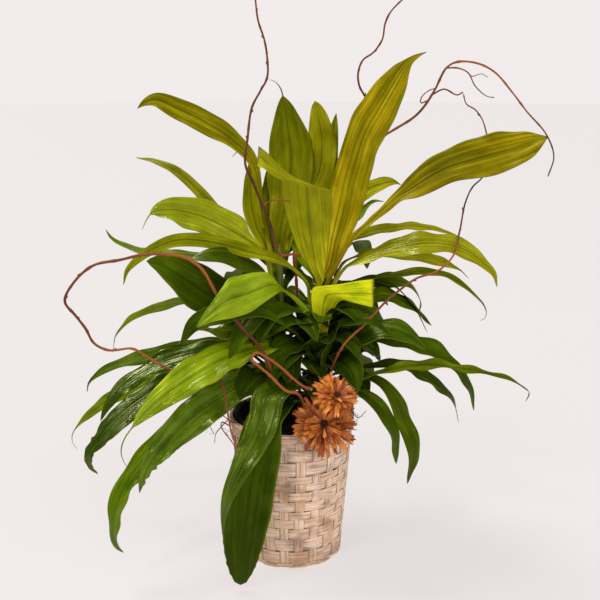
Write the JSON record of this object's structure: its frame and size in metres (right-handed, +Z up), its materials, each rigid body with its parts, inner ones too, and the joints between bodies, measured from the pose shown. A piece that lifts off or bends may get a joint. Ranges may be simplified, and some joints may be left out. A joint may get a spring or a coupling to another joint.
{
  "type": "potted corn plant",
  "caption": "Corn plant with arching strap leaves on thin canes, in a tapered woven splint basket dressed with curly willow twigs and dried wood flowers.",
  "frame": {"origin": "centre of the basket's underside, where it stands", "axes": "+Z up along the basket's axis, -Y towards the front, +X to the right seen from the front"},
  "size_m": [0.906, 0.5264, 1.0029],
  "materials": {
    "splint": "matte",
    "liner": "satin",
    "pot": "matte",
    "soil": "matte",
    "moss": "matte",
    "cane": "satin",
    "leaf": "satin",
    "willow": "satin",
    "petal": "matte"
  },
  "bodies": {
    "root": {"basket_wall": "splint", "basket_floor": "splint", "basket_rim": "splint", "plastic_liner": "liner", "grow_pot": "pot", "soil": "soil", "moss_ring": "moss", "cane_front": "cane", "cane_left": "cane", "cane_right": "cane", "leaf_front_hanging_dark": "leaf", "leaf_front_hanging": "leaf", "leaf_right_drooping": "leaf", "leaf_right_long_low": "leaf", "leaf_right_twisted": "leaf", "leaf_front_left_glossy": "leaf", "leaf_front_left_bright": "leaf", "leaf_right_broad": "leaf", "leaf_left_dark": "leaf", "leaf_front_flag": "leaf", "leaf_left_curled": "leaf", "leaf_left_bright": "leaf", "leaf_left_crown": "leaf", "leaf_right_arching": "leaf", "leaf_right_long": "leaf", "leaf_top_folded": "leaf", "leaf_top_tall": "leaf", "leaf_back_right_low": "leaf", "leaf_back_right_dark": "leaf", "leaf_back_low": "leaf", "leaf_back_right_pointed": "leaf", "leaf_back_right_short": "leaf", "leaf_back_right_olive": "leaf", "leaf_back_middle": "leaf", "leaf_back_right_thin": "leaf", "leaf_back_right_small": "leaf", "leaf_back_spike": "leaf", "leaf_left_front_long": "leaf", "leaf_left_ragged_dark": "leaf", "leaf_left_pale": "leaf", "leaf_left_low": "leaf", "leaf_left_long": "leaf", "leaf_left_broad_dark": "leaf", "leaf_left_middle": "leaf", "leaf_back_left": "leaf", "leaf_left_twisted": "leaf", "leaf_left_glossy": "leaf", "leaf_left_upright": "leaf", "leaf_left_behind": "leaf", "leaf_left_thin": "leaf", "leaf_left_high": "leaf", "leaf_top_dark": "leaf", "leaf_top_back": "leaf", "willow_loop_left": "willow", "willow_tall_left": "willow", "willow_tall_right": "willow", "willow_thin_right": "willow", "willow_hairpin_front": "willow", "dried_flower_low": "petal", "dried_flower_high": "petal"}
  },
  "joints": []
}
